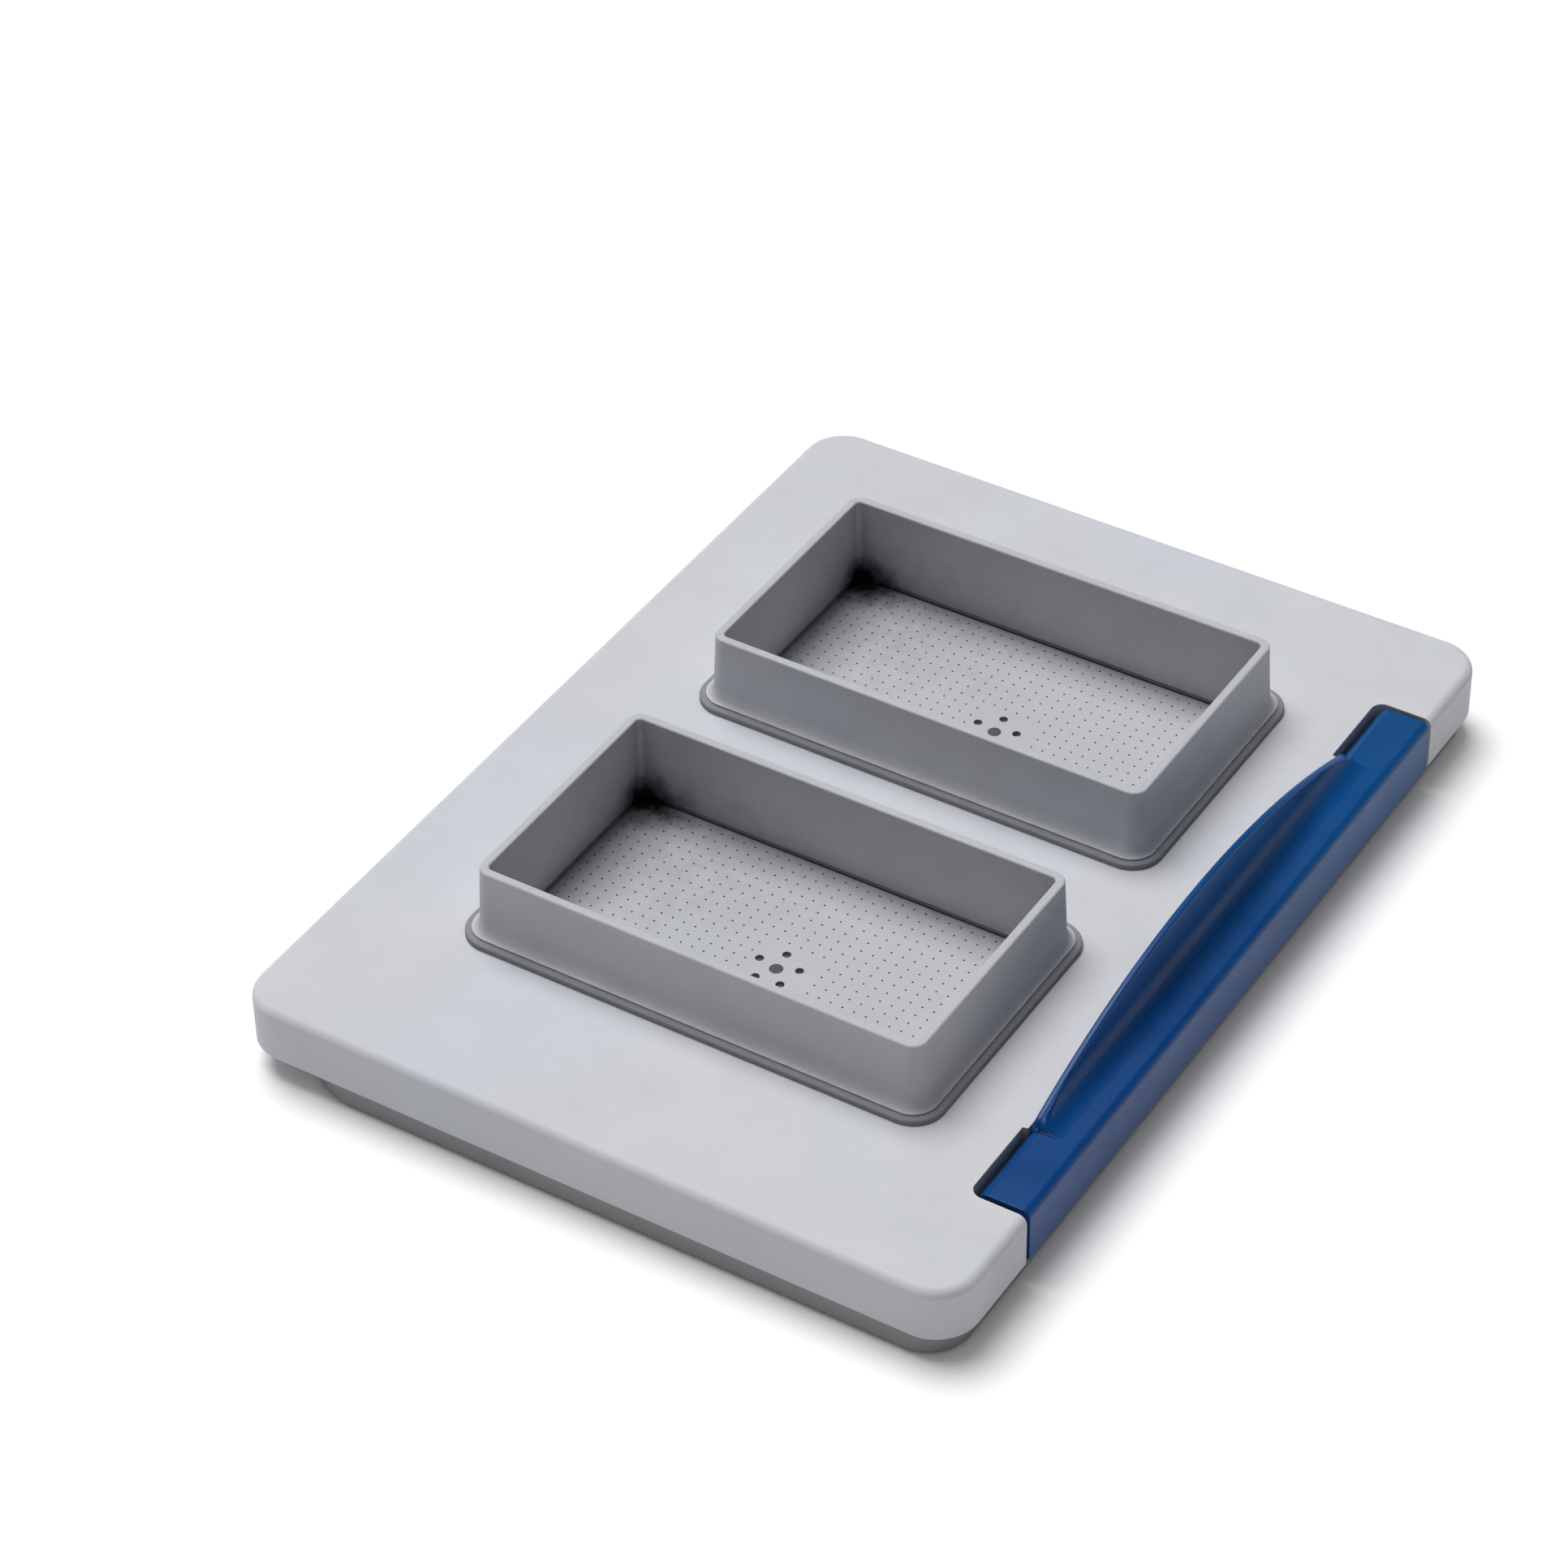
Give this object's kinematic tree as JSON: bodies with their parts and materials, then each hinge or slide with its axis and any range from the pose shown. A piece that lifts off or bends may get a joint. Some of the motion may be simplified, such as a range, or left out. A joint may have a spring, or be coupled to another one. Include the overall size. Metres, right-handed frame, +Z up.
{
  "type": "two-well hinged tray",
  "caption": "Flat hinged two-leaf tray with raised rectangular wells over drained, perforated floors, held shut by a rocking latch bar with a finger lip along one long side.",
  "frame": {"origin": "middle of the footprint, on the surface the feet stand on", "axes": "+Z up out of the wells, +Y along the long side towards the rear well, +X towards the latch"},
  "size_m": [0.14, 0.192, 0.03],
  "materials": {
    "plate_plastic": "fine matt texture",
    "well_plastic": "satin moulded",
    "seal_rubber": "matt elastomer",
    "foot_rubber": "matt elastomer",
    "floor_plastic": "fine perforated sheet",
    "grid_plastic": "satin moulded",
    "base_plastic": "satin moulded",
    "latch_plastic": "satin gloss moulded",
    "pin_steel": "drawn wire"
  },
  "bodies": {
    "lower_leaf": {"base_tray": "base_plastic", "support_grid_front": "grid_plastic", "floor_sheet_front": "floor_plastic", "support_grid_rear": "grid_plastic", "floor_sheet_rear": "floor_plastic", "hinge_pin_front": "pin_steel", "hinge_pin_rear": "pin_steel", "foot_front_left": "foot_rubber", "foot_front_right": "foot_rubber", "foot_rear_left": "foot_rubber", "foot_rear_right": "foot_rubber"},
    "upper_leaf": {"top_plate": "plate_plastic", "well_frame_front": "well_plastic", "well_collar_front": "seal_rubber", "well_gasket_front": "seal_rubber", "well_frame_rear": "well_plastic", "well_collar_rear": "seal_rubber", "well_gasket_rear": "seal_rubber", "latch_pin_front": "pin_steel", "latch_pin_rear": "pin_steel"},
    "latch": {"latch_bar": "latch_plastic"}
  },
  "joints": [
    {"name": "leaf_hinge", "type": "hinge", "parent": "lower_leaf", "child": "upper_leaf", "pos_m": [-0.065, 0, 0.007], "axis": [0, -1, 0], "range_deg": [0, 100]},
    {"name": "latch_pivot", "type": "hinge", "parent": "upper_leaf", "child": "latch", "pos_m": [0.0624, 0, 0.0132], "axis": [0, -1, 0], "range_deg": [0, 10]}
  ]
}
